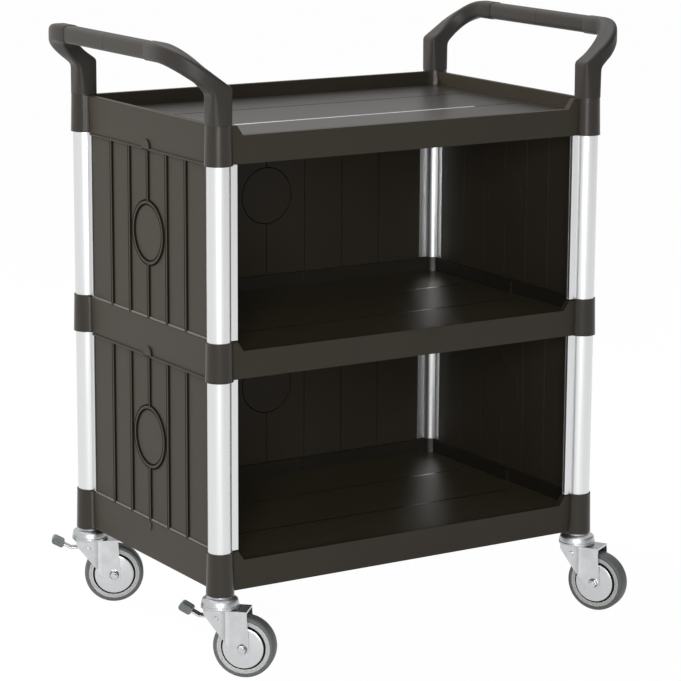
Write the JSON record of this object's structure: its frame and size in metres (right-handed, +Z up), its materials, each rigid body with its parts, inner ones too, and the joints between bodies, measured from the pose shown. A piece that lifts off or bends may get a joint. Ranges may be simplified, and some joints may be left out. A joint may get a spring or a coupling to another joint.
{
  "type": "service cart",
  "caption": "Tiered black plastic service cart with aluminium posts, ribbed side and back panels, end push handles and swivel castors, some with brake pedals.",
  "frame": {"origin": "on the floor, under the middle of the four posts", "axes": "+X along the shelves to the right seen from the open front, -Y out of the open front, +Z up"},
  "size_m": [0.8578, 0.6154, 0.9949],
  "materials": {
    "black_plastic": "charcoal black moulded plastic, finely textured, semi-matte",
    "post_aluminium": "satin anodised, drawn lengthwise",
    "zinc_steel": "bright zinc plated pressed steel",
    "plain_steel": "plain turned steel, hidden",
    "guard_grey": "satin pressed steel, dished disc",
    "rim_grey": "pale grey moulded plastic",
    "tyre_rubber": "dark grey smooth rubber",
    "pad_grey": "grey moulded plastic"
  },
  "bodies": {
    "cart": {"top_shelf": "black_plastic", "middle_shelf": "black_plastic", "bottom_shelf": "black_plastic", "upper_post_front_left": "post_aluminium", "upper_post_front_right": "post_aluminium", "upper_post_rear_left": "post_aluminium", "upper_post_rear_right": "post_aluminium", "upper_left_panel": "black_plastic", "upper_right_panel": "black_plastic", "upper_back_panel": "black_plastic", "lower_post_front_left": "post_aluminium", "lower_post_front_right": "post_aluminium", "lower_post_rear_left": "post_aluminium", "lower_post_rear_right": "post_aluminium", "lower_left_panel": "black_plastic", "lower_right_panel": "black_plastic", "lower_back_panel": "black_plastic", "left_handle_front_half": "black_plastic", "left_handle_rear_half": "black_plastic", "left_handle_core_tube": "plain_steel", "right_handle_front_half": "black_plastic", "right_handle_rear_half": "black_plastic", "right_handle_core_tube": "plain_steel", "castor_stems": "zinc_steel", "castor_heads": "zinc_steel", "castor_nuts": "zinc_steel"},
    "front_left_swivel": {"front_left_fork": "zinc_steel", "front_left_swivel_balls": "plain_steel", "front_left_axle_bolt": "zinc_steel", "front_left_axle_bush": "plain_steel", "front_left_thread_guards": "guard_grey", "front_left_brake_pin": "zinc_steel"},
    "front_left_wheel": {"front_left_wheel_rim": "rim_grey", "front_left_tyre": "tyre_rubber"},
    "front_left_pedal": {"front_left_brake_lever": "zinc_steel", "front_left_brake_pad": "pad_grey"},
    "front_right_swivel": {"front_right_fork": "zinc_steel", "front_right_swivel_balls": "plain_steel", "front_right_axle_bolt": "zinc_steel", "front_right_axle_bush": "plain_steel", "front_right_thread_guards": "guard_grey"},
    "front_right_wheel": {"front_right_wheel_rim": "rim_grey", "front_right_tyre": "tyre_rubber"},
    "rear_left_swivel": {"rear_left_fork": "zinc_steel", "rear_left_swivel_balls": "plain_steel", "rear_left_axle_bolt": "zinc_steel", "rear_left_axle_bush": "plain_steel", "rear_left_thread_guards": "guard_grey", "rear_left_brake_pin": "zinc_steel"},
    "rear_left_wheel": {"rear_left_wheel_rim": "rim_grey", "rear_left_tyre": "tyre_rubber"},
    "rear_left_pedal": {"rear_left_brake_lever": "zinc_steel", "rear_left_brake_pad": "pad_grey"},
    "rear_right_swivel": {"rear_right_fork": "zinc_steel", "rear_right_swivel_balls": "plain_steel", "rear_right_axle_bolt": "zinc_steel", "rear_right_axle_bush": "plain_steel", "rear_right_thread_guards": "guard_grey"},
    "rear_right_wheel": {"rear_right_wheel_rim": "rim_grey", "rear_right_tyre": "tyre_rubber"}
  },
  "joints": [
    {"name": "front_left_swivel_turn", "type": "hinge", "parent": "cart", "child": "front_left_swivel", "pos_m": [-0.348, -0.225, 0.11], "axis": [0, 0, 1], "continuous": true},
    {"name": "front_left_wheel_spin", "type": "hinge", "parent": "front_left_swivel", "child": "front_left_wheel", "pos_m": [-0.31875, -0.25228, 0.05], "axis": [0.682, 0.7314, 0], "continuous": true},
    {"name": "front_left_pedal_press", "type": "hinge", "parent": "front_left_swivel", "child": "front_left_pedal", "pos_m": [-0.35056, -0.22261, 0.095], "axis": [-0.682, -0.7314, 0], "range_deg": [0, 20]},
    {"name": "front_right_swivel_turn", "type": "hinge", "parent": "cart", "child": "front_right_swivel", "pos_m": [0.348, -0.225, 0.11], "axis": [0, 0, 1], "continuous": true},
    {"name": "front_right_wheel_spin", "type": "hinge", "parent": "front_right_swivel", "child": "front_right_wheel", "pos_m": [0.368, -0.25964, 0.05], "axis": [0.866, 0.5, 0], "continuous": true},
    {"name": "rear_left_swivel_turn", "type": "hinge", "parent": "cart", "child": "rear_left_swivel", "pos_m": [-0.348, 0.225, 0.11], "axis": [0, 0, 1], "continuous": true},
    {"name": "rear_left_wheel_spin", "type": "hinge", "parent": "rear_left_swivel", "child": "rear_left_wheel", "pos_m": [-0.31236, 0.20684, 0.05], "axis": [0.454, 0.891, 0], "continuous": true},
    {"name": "rear_left_pedal_press", "type": "hinge", "parent": "rear_left_swivel", "child": "rear_left_pedal", "pos_m": [-0.35112, 0.22659, 0.095], "axis": [-0.454, -0.891, 0], "range_deg": [0, 20]},
    {"name": "rear_right_swivel_turn", "type": "hinge", "parent": "cart", "child": "rear_right_swivel", "pos_m": [0.348, 0.225, 0.11], "axis": [0, 0, 1], "continuous": true},
    {"name": "rear_right_wheel_spin", "type": "hinge", "parent": "rear_right_swivel", "child": "rear_right_wheel", "pos_m": [0.368, 0.25964, 0.05], "axis": [-0.866, 0.5, 0], "continuous": true}
  ]
}
